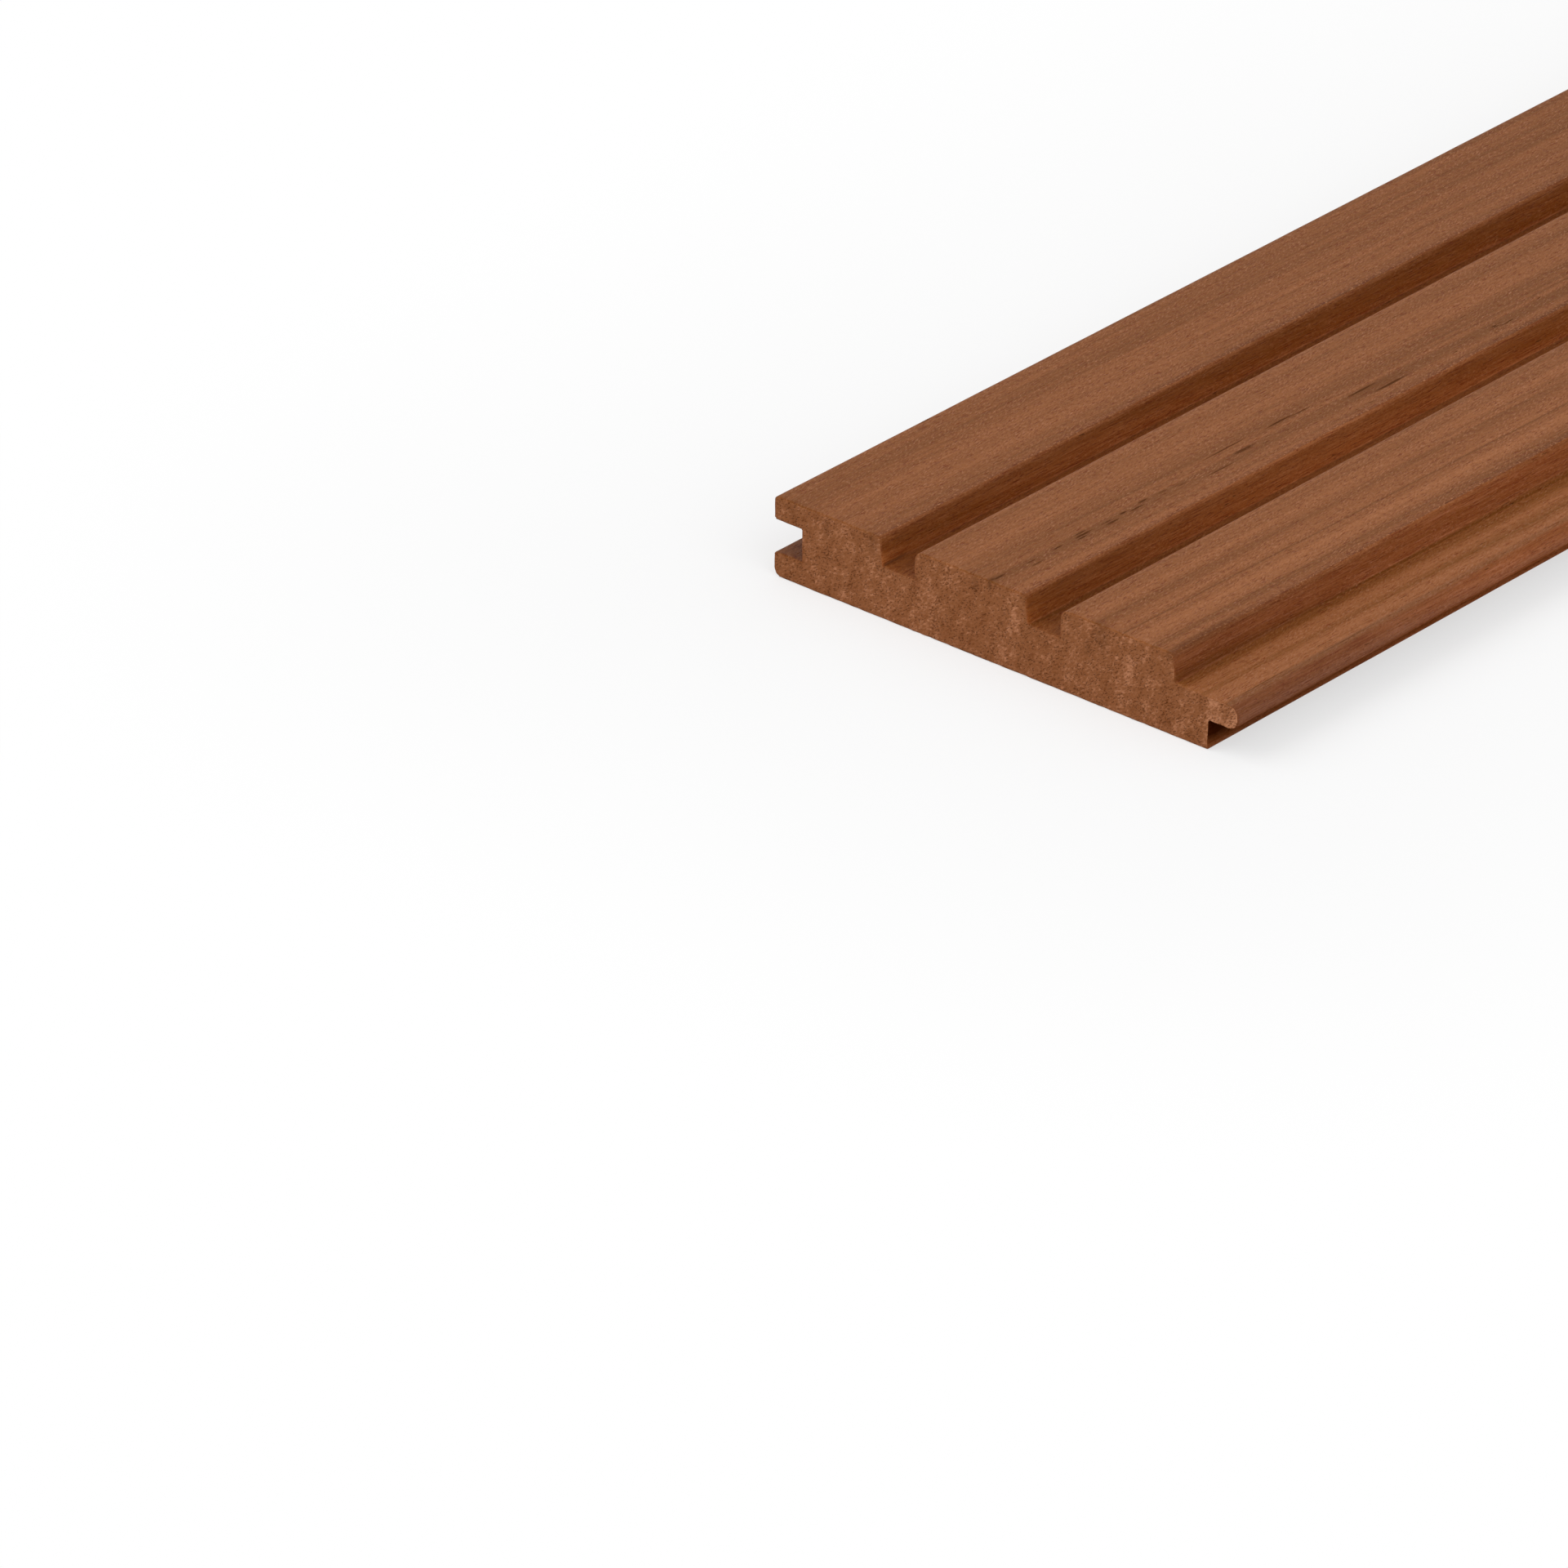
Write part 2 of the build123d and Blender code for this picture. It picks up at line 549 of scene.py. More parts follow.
    def mineral(self, graph: Graph, across: Field, along: Field, below: Field, ring: Field) -> Field:
        """Dark lines in the timber, gathered into streaks.

        The lines near the end are listed one by one, with edges that stray by a noise drawn out along the
        grain.
        Further along, the lines are the peaks of that noise, where a larger noise within the same band is
        high.

        Args:
            graph: the material's nodes.
            across: millimetres from the groove edge.
            along: millimetres from the near end.
            below: millimetres below the ribbed face.
            ring: the growth ring.

        Returns:
            0 for clean timber to 1 for a dark line.
        """
        lines = self.lines.read(graph, ring, along, below)
        patches = self.patches.read(graph, ring, along, below)
        banded = abs(ring - self.streaked_ring).step(*self.streaked_reach)
        gathered = patches.step(*self.patch_edge) * banded * along.step(*self.patches_from)
        total = (lines + gathered * self.patch_lift).step(*self.line_edge)
        point = graph.vector(across + (lines - 0.5) * self.streak_wander, along, below)
        for streak in self.streaks:
            size = (streak.half_width, streak.half_length, 2.0 * streak.half_width)
            centre = (streak.across, streak.along, streak.below)
            inputs = {
                "Vector": point,
                "Location": tuple(-place / extent for place, extent in zip(centre, size)),
                "Scale": tuple(1.0 / extent for extent in size),
            }
            within = graph.add("ShaderNodeMapping", {"vector_type": "POINT"}, inputs)
            away = graph.add("ShaderNodeVectorMath", {"operation": "LENGTH"}, {"Vector": within}, "Value")
            total = (away.step(*self.streak_edge) * streak.strength).most(total)
        return total


@dataclass(frozen=True)
class Place:
    """Where on the planed faces the point being shaded lies: 0 outside a part to 1 within it."""

    wall: Field  # faces that stand up
    flat: Field  # all the others
    ledge: Field  # the ledge beside the tongue
    channel: Field  # painted shade on the channels' floors and in the groove
    nose: Field  # the tongue's rounded edge
    frayed_and_shaded: Field  # the edges over the sloping walls, with loose fibres and painted shade
    recess_shade: Field  # painted shade in the recess under the tongue and under its nose


@dataclass(frozen=True)
class Parts:
    """Limits of the parts of the planed faces, in millimetres from the groove edge or below the ribs."""

    tongue_wall: Span = (0.12, 0.5)  # how far sideways a wall faces on the tongue side
    groove_wall: Span = (-0.6, -0.95)  # and on the groove side
    floor_top: Span = (6.6, 7.15)
    floor_foot: Span = (9.0, 7.6)
    ledge_from: Span = (123.0, 126.0)
    channels_from: Span = (20.0, 25.0)
    channels_to: Span = (121.0, 119.0)
    second_channel: Span = (60.0, 80.0)
    second_loss: float = 0.35  # how much less painted shade the second channel takes
    groove_to: Span = (8.9, 8.5)
    groove_top: Span = (5.9, 6.3)
    groove_foot: Span = (14.9, 14.5)
    nose_from: Span = (135.9, 136.7)
    nose_top: Span = (6.0, 7.0)
    nose_fade: Span = (40.0, 110.0)  # from the near end
    nose_loss: float = 0.5  # how much of its tint the nose loses over that

    def read(self, graph: Graph, wood: Pattern) -> Place:
        """Add the nodes that tell the parts apart.

        Args:
            graph: the material's nodes.
            wood: the timber's pattern.

        Returns:
            The place of the point being shaded.
        """
        sideways = graph.attribute(SIDEWAYS)
        wall = sideways.step(*self.tongue_wall).most(sideways.step(*self.groove_wall))
        level = wood.below.step(*self.floor_top) * wood.below.step(*self.floor_foot)
        ledge = wood.across.step(*self.ledge_from) * level
        channel = wood.across.step(*self.channels_from) * wood.across.step(*self.channels_to) * level
        channel = channel * (1.0 - wood.across.step(*self.second_channel) * self.second_loss)
        groove = wood.below.step(*self.groove_top) * wood.below.step(*self.groove_foot)
        channel = channel.most(wood.across.step(*self.groove_to) * groove)
        nose = wood.across.step(*self.nose_from) * wood.below.step(*self.nose_top)
        nose = nose * (1.0 - wood.along.step(*self.nose_fade) * self.nose_loss)
        frayed_and_shaded, recess_shade = graph.attribute(FRAYED_AND_SHADED), graph.attribute(RECESS_SHADE)
        return Place(wall, 1.0 - wall, ledge, channel, nose, frayed_and_shaded, recess_shade)


@dataclass(frozen=True)
class LongGrain:
    """Planed faces along the grain: warm brown bands, fine pores, light flecks with painted glints and a soft
    matt sheen, with painted shade and light on walls, channels, edges and recess.
    """

    name: str = "planed_long_grain"
    light: Colour = (0.32, 0.1115, 0.0335)
    middle: Colour = (0.246, 0.08, 0.0185)
    dark: Colour = (0.163, 0.049, 0.004)
    mineral: Colour = (0.07, 0.025, 0.009)
    mineral_share: float = 0.9
    pore: Colour = (0.14, 0.02, 0.0)
    # light flecks: lighter fibres with painted glints
    fleck: Colour = (0.5, 0.23, 0.125)
    fibre: Colour = (0.43, 0.18, 0.075)
    nose: Colour = (0.8, 0.83, 0.92)  # tints the tongue's rounded edge
    wall_top_shade: Colour = (0.8, 0.72, 0.62)  # painted shade and light on the channels' walls, from top to foot: darker at the top, lighter at the foot
    wall_foot_light: Colour = (1.22, 1.1, 0.98)
    wall_shade: Span = (1.2, 7.4)  # millimetres below the ribbed face from one to the other
    edge_wall_shade: Colour = (0.88, 0.79, 0.86)  # painted shade on the wall beside the tongue
    edge_wall_from: Span = (117.0, 119.0)  # from the groove edge
    painted_edge_shade: Colour = (0.72, 0.64, 0.55)  # painted shade on the edges over the sloping walls
    edge_shade_depth: Span = (0.2, 2.0)
    painted_wall_light: Colour = (2.0, 2.0, 2.0)  # painted light, brightening the walls towards the tongue and the far end
    wall_light_from: Span = (0.0, 110.0)  # from the near end
    wall_light_width: float = 400.0
    ledge: Colour = (1.1, 1.15, 1.4)  # tints the ledge beside the tongue
    channel: Colour = (0.77, 0.67, 0.5)  # painted shade on the channels' floors and in the groove
    recess_shade: Colour = (0.14, 0.08, 0.03)  # painted shade in the recess under the tongue and under its nose
    parts: Parts = Parts()
    stroke_deg: float = 20.0  # how far the planing marks stand off the grain
    strokes: Texture = Texture((0.4, 1.5, 0.4), 2.0, 0.6)
    stroke_dark: Mark = Mark((0.5, 0.24), 0.72)
    stroke_light: Mark = Mark((0.5, 0.8), 0.42)
    ticks: Texture = Texture((0.36, 1.7, 0.36), shift=31.0)
    tick_dark: Mark = Mark((0.66, 0.76), 0.8)
    pores: Texture = Texture((0.33, 4.0, 0.33))
    pore_dark: Mark = Mark((0.58, 0.76), 0.8)
    pore_edge: Span = (0.55, 0.75)  # over which a pore sinks in
    lines: Texture = Texture((0.5, 13.0, 0.3), 2.0)  # long and fine, on the walls
    line_dark: Mark = Mark((0.5, 0.74), 0.6)
    line_light: Mark = Mark((0.46, 0.26), 0.2)
    fibres: Texture = Texture((0.5, 0.8, 0.5), 2.0)  # loose ones on frayed edges
    fibre_light: Mark = Mark((0.56, 0.66), 0.5)
    fibre_on_walls: float = 0.4  # strength of the loose fibres on walls; flats have 1 more
    calming: float = 0.3  # how much weaker the marks are on the walls and the ledge
    patches: Texture = Texture((4.0, 12.0, 4.0))  # within which the planing marks are stronger
    patch_edge: Span = (0.3, 0.7)
    patch_least: float = 0.6
    patch_gain: float = 0.8
    fibre_lift: float = 0.4  # shares of the relief
    stroke_lift: float = 0.4
    pore_sink: float = 0.6
    relief: float = 0.00014  # metres
    roughness: float = 0.52
    roughness_range: float = 0.25
    specular: float = 0.13
    dull_roughness: float = 0.9  # of dark lines and of the recess
    dull_from: Span = (0.0, 0.3)  # painted recess shade over which the recess gets dull

    def material(self, timber: Timber) -> bpy.types.Material:
        """Make the material.

        Args:
            timber: the pattern to show.

        Returns:
            The finished material.
        """
        material = bpy.data.materials.new(self.name)
        graph = Graph(material)
        wood = timber.read(graph)
        place = self.parts.read(graph, wood)
        point = (wood.ring, wood.along, wood.below)
        slant = math.radians(self.stroke_deg)
        stroke = wood.along * math.cos(slant) - wood.ring * math.sin(slant)
        beside = wood.along * math.sin(slant) + wood.ring * math.cos(slant)
        strokes = self.strokes.read(graph, beside, stroke, wood.below)
        ticks = self.ticks.read(graph, beside, stroke, wood.below)
        pores = self.pores.read(graph, *point)
        lines = self.lines.read(graph, *point)
        fibres = self.fibres.read(graph, *point)
        calm = 1.0 - (place.wall + place.ledge) * self.calming
        patches = self.patches.read(graph, *point).ramp(*self.patch_edge)
        vivid = (patches * self.patch_gain + self.patch_least) * calm

        colour = graph.blend(wood.tone.ramp(0.0, 0.5), self.light, self.middle)
        colour = graph.blend(wood.tone.ramp(0.5, 1.0), colour, self.dark)
        colour = self.stroke_dark.lay(strokes, colour, self.pore, vivid)
        colour = self.pore_dark.lay(pores, colour, self.pore, calm)
        colour = self.stroke_light.lay(strokes, colour, self.fleck, vivid)
        colour = self.tick_dark.lay(ticks, colour, self.pore)
        colour = self.line_dark.lay(lines, colour, self.pore, place.wall)
        colour = self.line_light.lay(lines, colour, self.fleck, place.wall)
        colour = self.tint(graph, wood, place, fibres, colour)
        stained = wood.mineral * self.mineral_share
        colour = graph.blend(stained, colour, self.mineral)

        sunk = pores.step(*self.pore_edge) * self.pore_sink
        lift = fibres * self.fibre_lift + strokes * self.stroke_lift - sunk
        roughness = (pores - 0.5) * self.roughness_range + self.roughness
        planed = graph.principled(colour, roughness, self.specular, lift, self.relief)
        dull = graph.principled(colour, self.dull_roughness, 0.0)
        dulled = stained.most(place.recess_shade.step(*self.dull_from))
        graph.add_output(graph.mix_shaders(dulled, planed, dull))
        return material

    def tint(self, graph: Graph, wood: Pattern, place: Place, fibres: Field, colour: Field) -> Field:
        """Tint the parts of the planed faces with their own tints and with painted shade and light, and lay
        loose fibres on the edges over the sloping walls.

        Args:
            graph: the material's nodes.
            wood: the timber's pattern.
            place: where on the faces the point lies.
            fibres: the texture of the loose fibres.
            colour: the colour of the timber.

        Returns:
            The tinted colour.
        """
        # Painted shade and light on the walls: darker towards their tops and on the wall beside the tongue,
        # lighter at their feet.
        wall = graph.blend(wood.below.step(*self.wall_shade), self.wall_top_shade, self.wall_foot_light)
        edge = graph.blend(wood.below.step(*self.edge_shade_depth), self.painted_edge_shade, self.edge_wall_shade)
        wall = graph.blend(wood.across.step(*self.edge_wall_from), wall, edge)
        # painted light on the walls further from the near end and towards the tongue
        further = wood.along.step(*self.wall_light_from) * wood.across / self.wall_light_width
        wall = graph.blend(further, wall, self.painted_wall_light, "MULTIPLY")
        colour = graph.blend(place.wall, colour, graph.blend(1.0, colour, wall, "MULTIPLY"))
        # painted shade on the flats at the edges over the sloping walls
        colour = graph.blend(place.frayed_and_shaded * place.flat, colour, self.painted_edge_shade, "MULTIPLY")
        loose = place.frayed_and_shaded * (place.flat + self.fibre_on_walls)
        colour = self.fibre_light.lay(fibres, colour, self.fibre, loose)
        for share, tint in (
            (place.ledge * place.flat, self.ledge),
            # painted shade on the channels' floors and in the groove
            (place.channel, self.channel),
            # painted shade in the recess under the tongue
            (place.recess_shade, self.recess_shade),
            (place.nose, self.nose),
        ):
            colour = graph.blend(share, colour, tint, "MULTIPLY")
        return colour


@dataclass(frozen=True)
class EndGrain:
    """Sawn ends across the grain: cut fibres, open pores and faint growth bands, rougher than the faces."""

    name: str = "sawn_end_grain"
    light: Colour = (0.47, 0.2, 0.1)
    middle: Colour = (0.259, 0.093, 0.034)
    dark: Colour = (0.148, 0.041, 0.008)
    pore: Colour = (0.1, 0.022, 0.0)
    mineral: Colour = (0.04, 0.01, 0.0)
    mineral_share: float = 0.85
    stroke_deg: float = 35.0  # how far the saw marks rise towards the tongue
    clouds: Texture = Texture((4.5, 4.0, 3.0), 2.0)
    grit: Texture = Texture((1.3, 2.0, 0.6), 3.0, 0.6)
    pores: Texture = Texture((0.75, 2.0, 0.36), shift=17.0)
    patches: Texture = Texture((3.0, 4.0, 3.0), shift=5.0)  # of more and fewer pores
    mean_shade: float = 0.42
    tone_share: float = 0.45  # of the timber's tone in the shade
    cloud_share: float = 1.35
    grit_share: float = 2.1
    tongue_from: Span = (129.5, 133.0)  # millimetres from the groove edge
    tongue_light: float = 0.26  # how much lighter the tongue is
    to_middle: Span = (-0.3, 0.5)  # shades over which the colour goes from light to middle
    to_dark: Span = (0.5, 1.3)  # and on to dark
    late_pores: float = 0.04  # how many more pores late wood has
    patch_pores: float = 0.3  # and patches
    pore_edge: Span = (0.58, 0.72)
    pore_share: float = 0.55
    pore_sink: float = 0.6  # share of the relief
    relief: float = 0.0003  # metres
    roughness: float = 0.7
    roughness_range: float = 0.2
    specular: float = 0.05

    def material(self, timber: Timber) -> bpy.types.Material:
        """Make the material.

        Args:
            timber: the pattern to show.

        Returns:
            The finished material.
        """
        material = bpy.data.materials.new(self.name)
        graph = Graph(material)
        wood = timber.read(graph)
        slant = math.radians(self.stroke_deg)
        stroke = wood.across * math.cos(slant) - wood.below * math.sin(slant)
        beside = wood.across * math.sin(slant) + wood.below * math.cos(slant)
        clouds = self.clouds.read(graph, stroke, wood.along, beside)
        grit = self.grit.read(graph, stroke, wood.along, beside)
        pores = self.pores.read(graph, stroke, wood.along, beside)
        patches = self.patches.read(graph, wood.across, wood.along, wood.below)
        shade = (wood.tone - 0.5) * self.tone_share + (clouds - 0.5) * self.cloud_share
        shade = shade + (grit - 0.5) * self.grit_share + self.mean_shade
        shade = shade - wood.across.step(*self.tongue_from) * self.tongue_light
        colour = graph.blend(shade.step(*self.to_middle), self.light, self.middle)
        colour = graph.blend(shade.step(*self.to_dark), colour, self.dark)
        crowded = wood.late * self.late_pores + (patches - 0.5) * self.patch_pores
        pits = (pores + crowded).step(*self.pore_edge)
        colour = graph.blend(pits * self.pore_share, colour, self.pore)
        colour = graph.blend(wood.mineral * self.mineral_share, colour, self.mineral)
        roughness = (grit - 0.5) * self.roughness_range + self.roughness
        lift = grit - pits * self.pore_sink
        graph.add_output(graph.principled(colour, roughness, self.specular, lift, self.relief))
        return material


# The board


@dataclass(frozen=True)
class Outline:
    """The section's closed outline as points, anticlockwise as seen from the near end."""

    points: np.ndarray  # across and up, in millimetres
    normals: np.ndarray  # outward, unit length
    run: np.ndarray  # millimetres along the outline
    length: float  # of the whole outline
    arris_at: np.ndarray  # where along the outline each rounded outer edge has its middle
    arris_half: np.ndarray  # half of each edge's length
    arris_point: np.ndarray  # the outline's point nearest to that middle


@dataclass(frozen=True)
class Section:
    """The board's section, in millimetres from its groove edge and its back."""

    width: float
    thickness: float
    cover_width: float = 132.0
    rib_count: int = 3
    channel_floor: float = 9.5
    ledge: float = 10.0
    channel_depth: float = 7.2
    wall_draft_deg: float = 7.0
    tongue_length: float = 8.5
    tongue_thickness: float = 6.4
    tongue_clearance: float = 1.0
    groove_depth: float = 8.5
    face_radius: float = 1.2  # where the face meets the groove edge
    upright_radius: float = 2.3  # of the ribs' edges over the upright walls
    sloping_radius: float = 1.0  # and over the sloping ones
    lip_radius: float = 0.9
    back_radius: float = 2.2
    back_corner_radius: float = 0.6
    nose_radius: float = 2.8
    channel_radius: float = 0.5
    inner_radius: float = 0.3

    def corners(self) -> np.ndarray:
        """Corners of the section before they are rounded.

        Returns:
            Rows of across, up and radius, anticlockwise from the back's groove edge.
        """
        face = self.width - self.tongue_length
        floor = self.thickness - self.channel_depth
        wall_run = self.channel_depth * math.tan(math.radians(self.wall_draft_deg))
        pitch = self.cover_width / self.rib_count
        tongue_bottom = floor - self.tongue_thickness
        groove_bottom = tongue_bottom - self.tongue_clearance
        groove_top = floor + self.tongue_clearance
        rows = [
            (0.0, 0.0, self.back_radius),
            (face, 0.0, self.back_corner_radius),
            (face, tongue_bottom, self.inner_radius),
            (self.width, tongue_bottom, self.nose_radius),
            (self.width, floor, self.nose_radius),
        ]
        for rib in range(self.rib_count):
            foot = face - self.ledge - rib * pitch
            top = foot - wall_run
            rows += [(foot, floor, self.channel_radius), (top, self.thickness, self.sloping_radius)]
            if rib < self.rib_count - 1:
                edge = foot - pitch + self.channel_floor
                rows += [(edge, self.thickness, self.upright_radius), (edge, floor, self.channel_radius)]
        rows += [
            (0.0, self.thickness, self.face_radius),
            (0.0, groove_top, self.lip_radius),
            (self.groove_depth, groove_top, self.inner_radius),
            (self.groove_depth, groove_bottom, self.inner_radius),
            (0.0, groove_bottom, self.lip_radius),
        ]
        return np.array(rows)

    def outline(self, spacing: float, arc_steps: int) -> Outline:
        """Round the corners and divide the straight runs.

        At each corner the arc starts the radius times the tangent of half the turn before the corner. Its
        points are the start turned about the arc's centre, in equal steps.

        Args:
            spacing: the most that two points of a straight run may be apart.
            arc_steps: the divisions of each arc.

        Returns:
            The outline.
        """
        rows = self.corners()
        corner, radius = rows[:, :2], rows[:, 2]
        into = corner - np.roll(corner, 1, axis=0)
        into /= np.linalg.norm(into, axis=1, keepdims=True)
        out_of = np.roll(into, -1, axis=0)
        cross = into[:, 0] * out_of[:, 1] - into[:, 1] * out_of[:, 0]
        turn = np.arctan2(cross, (into * out_of).sum(1))
        start = corner - into * (radius * np.tan(np.abs(turn) / 2))[:, None]
        left = np.stack([-into[:, 1], into[:, 0]], 1) * np.sign(turn)[:, None]
        centre = start + left * radius[:, None]
        angle = turn[:, None] * np.linspace(0, 1, arc_steps + 1)
        arm = (start - centre)[:, None, :]
        arcs = centre[:, None, :] + np.stack(
            [
                arm[..., 0] * np.cos(angle) - arm[..., 1] * np.sin(angle),
                arm[..., 0] * np.sin(angle) + arm[..., 1] * np.cos(angle),
            ],
            -1,
        )
        ends = np.roll(start, -1, axis=0)
        gaps = np.linalg.norm(ends - arcs[:, -1], axis=1)
        counts = np.maximum(np.ceil(gaps / spacing), 1).astype(int)
        runs = [
            np.concatenate([arc, np.linspace(arc[-1], end, count + 1)[1:-1]])
            for arc, end, count in zip(arcs, ends, counts)
        ]
        points = np.concatenate(runs)
        steps = np.linalg.norm(np.roll(points, -1, axis=0) - points, axis=1)
        run = np.concatenate([[0.0], np.cumsum(steps)[:-1]])
        first = np.concatenate([[0], np.cumsum([len(part) for part in runs])[:-1]])
        half = np.abs(turn) * radius / 2
        outer = turn > 0
        tangent = np.roll(points, -1, axis=0) - np.roll(points, 1, axis=0)
        tangent /= np.linalg.norm(tangent, axis=1, keepdims=True)
        normals = np.stack([tangent[:, 1], -tangent[:, 0]], 1)
        middle = first + arc_steps // 2
        arrises = (run[first] + half)[outer], half[outer], middle[outer]
        return Outline(points, normals, run, steps.sum(), *arrises)


@dataclass
class Board:
    """The whole board as one closed piece: the section carried along the length, with sawn ends."""

    low: Vector  # corners of the board's box, in metres
    high: Vector
    timber: Timber = field(init=False)
    section: Section = field(init=False)
    run_spacing: float = 1.7  # millimetres between points of the section's straight runs
    arc_steps: int = 7
    first_step: float = 0.1  # millimetres from an end to the next station
    step_growth: float = 1.3
    fine_step: float = 4.5
    fine_length: float = 300.0
    coarse_step: float = 20.0
    end_radius: float = 0.25  # rounding of the sawn ends' arrises
    end_fray: float = 0.2  # how deep the ends' arrises are frayed
    cap_inset: float = 0.55  # from the outline to the flat of the ends
    arris_wear: float = 0.05  # how deep the long arrises are worn
    arris_waves: tuple[float, ...] = (17.0, 31.0, 67.0, 139.0)  # lengths of the wear's waves along the board
    arris_points: int = 24  # neighbouring points of the section that share their waves
    arris_reach: float = 0.7  # how far the wear spreads onto the flats
    frayed_and_shaded_reach: float = 1.0  # and how far the loose fibres and painted shade on the edges over the sloping walls do
    shade_depth: float = 3.6  # millimetres from the mouth of the recess under the tongue to its darkest painted shade
    nose_shade: float = 0.5  # how dark the painted shade on the tongue's nose gets beside that
    slack: float = 0.1  # millimetres by which a point may miss a face and still belong to it
    bake_strip: float = 0.9  # share of the bake map that the long faces take
    bake_margin: float = 0.01

    def __post_init__(self) -> None:
        """Work out the board's sizes in millimetres from its box."""
        size = (self.high - self.low) / METRE
        self.section = Section(size.x, size.z)
        self.timber = Timber(size.x / 2, size.y / 2, size.z)

    def stations(self) -> np.ndarray:
        """Distances along the length at which the section stands.

        Steps grow from the end by a constant factor up to the fine step, hold it over the fine length and
        then hold the coarse step. The other half of the board mirrors this.

        Returns:
            Millimetres from the near end, ascending.
        """
        length = 2 * self.timber.half_length
        count = math.ceil(math.log(self.fine_step / self.first_step, self.step_growth))
        opening = np.cumsum(self.first_step * self.step_growth ** np.arange(count))
        fine = np.arange(opening[-1] + self.fine_step, self.fine_length, self.fine_step)
        middle = np.arange(fine[-1] + self.coarse_step, length / 2, self.coarse_step)
        half = np.concatenate([[0.0], opening, fine, middle])
        return np.concatenate([half, [length / 2], (length - half)[::-1]])

    @staticmethod
    def wear(outline: Outline, edges: np.ndarray, reach: float) -> np.ndarray:
        """How far each point of the outline belongs to a rounded outer edge.

        The wear is 1 over an edge's arc, and falls off beyond it as a bell curve of the distance.

        Args:
            outline: the section's outline.
            edges: which of its rounded outer edges to take, as their numbers.
            reach: how far the wear spreads onto the flats.

        Returns:
            A value from 0 to 1 for each point.
        """
        apart = np.abs(outline.run[:, None] - outline.arris_at[None, edges])
        apart = np.minimum(apart, outline.length - apart)
        beyond = np.maximum(apart - outline.arris_half[None, edges], 0) / reach
        return np.exp(-(beyond**2)).max(1)

    def painted_recess_shade(self, outline: Outline) -> np.ndarray:
        """How much painted shade each point of the outline takes, in the recess under the tongue and on its
        nose.

        The share is the height up the wall under the tongue, or the depth below the middle of the tongue's
        nose, over the shade's depth. It is at most 1, or less on the nose.

        Args:
            outline: the section's outline.

        Returns:
            A value from 0 to 1 for each point.
        """
        across, up = outline.points.T
        section = self.section
        face = section.width - section.tongue_length
        floor = section.thickness - section.channel_depth
        tongue_bottom = floor - section.tongue_thickness
        recessed = (across > face - self.slack) & (up < tongue_bottom + self.slack)
        under = np.where(recessed, up, 0.0)
        on_nose = across > section.width - section.nose_radius
        under = np.clip(np.where(on_nose, 0.0, under) / self.shade_depth, 0, 1)
        lowered = np.where(on_nose, floor - section.tongue_thickness / 2 - up, 0.0)
        lowered = np.clip(lowered / self.shade_depth, 0, 1) * self.nose_shade
        return np.maximum(under, lowered)

    def build(self) -> bpy.types.Object:
        """Make the board's mesh.

        A point is the outline's point at a station, moved inwards by three amounts. The first is the rounding
        of the end arris: the end radius less the root of its square less the square of what is left of it at
        that distance from the end. The second is fray, random and fading within the end radius. The third is
        wear on the long arrises, a sum of waves along the length with random phases.

        Returns:
            The board's object, at the origin.
        """
        rng = np.random.default_rng(SEED)
        outline = self.section.outline(self.run_spacing, self.arc_steps)
        stations = self.stations()
        length = stations[-1]
        from_end = np.minimum(stations, length - stations)
        wear = self.wear(outline, np.arange(len(outline.arris_at)), self.arris_reach)
        ring_count, point_count = len(stations), len(outline.points)

        left = np.maximum(self.end_radius - from_end, 0)
        rounding = self.end_radius - np.sqrt(self.end_radius**2 - left**2)
        fade = np.exp(-((from_end / self.end_radius) ** 2))
        fray = rng.random((ring_count, point_count)) ** 2 * self.end_fray * fade[:, None]
        wavelengths = np.array(self.arris_waves)
        phases = rng.uniform(0, 2 * np.pi, (len(wavelengths), 1, point_count))
        phases = np.repeat(phases[:, :, :: self.arris_points], self.arris_points, axis=2)[:, :, :point_count]
        angle = 2 * np.pi * stations[None, :, None] / wavelengths[:, None, None] + phases
        waves = (1 + np.sin(angle).mean(0)) / 2
        inset = rounding[:, None] + fray + waves * wear[None, :] * self.arris_wear

        flat = outline.points[None] - outline.normals[None] * inset[..., None]
        pull = rng.random((ring_count, point_count)) * self.end_fray * fade[:, None]
        towards = np.where(stations < length / 2, 1.0, -1.0)
        along = stations[:, None] + pull * towards[:, None]
        rings = np.stack([flat[..., 0], along, flat[..., 1]], -1)
        inner = outline.points - outline.normals * self.cap_inset
        caps = [np.stack([inner[:, 0], np.full(point_count, end), inner[:, 1]], -1) for end in (0.0, length)]
        points = np.concatenate([caps[:1], rings, caps[1:]]) * METRE + np.array(self.low)

        mesh = bpy.data.meshes.new("board")
        self.fill(mesh, points)
        edges = outline.arris_point
        over_wall = outline.normals[edges, 0] > 0
        over_wall &= outline.points[edges, 1] > self.section.thickness - self.section.sloping_radius
        frayed_and_shaded = self.wear(outline, np.flatnonzero(over_wall), self.frayed_and_shaded_reach)
        sideways = outline.normals[:, 0]
        for name, share in ((FRAYED_AND_SHADED, frayed_and_shaded), (SIDEWAYS, sideways), (RECESS_SHADE, self.painted_recess_shade(outline))):
            attribute = mesh.attributes.new(name, "FLOAT", "POINT")
            attribute.data.foreach_set("value", np.tile(share, ring_count + 2).astype(np.float32))
        self.lay_out(mesh, outline, stations)
        board = bpy.data.objects.new("board", mesh)
        bpy.context.scene.collection.objects.link(board)
        return board

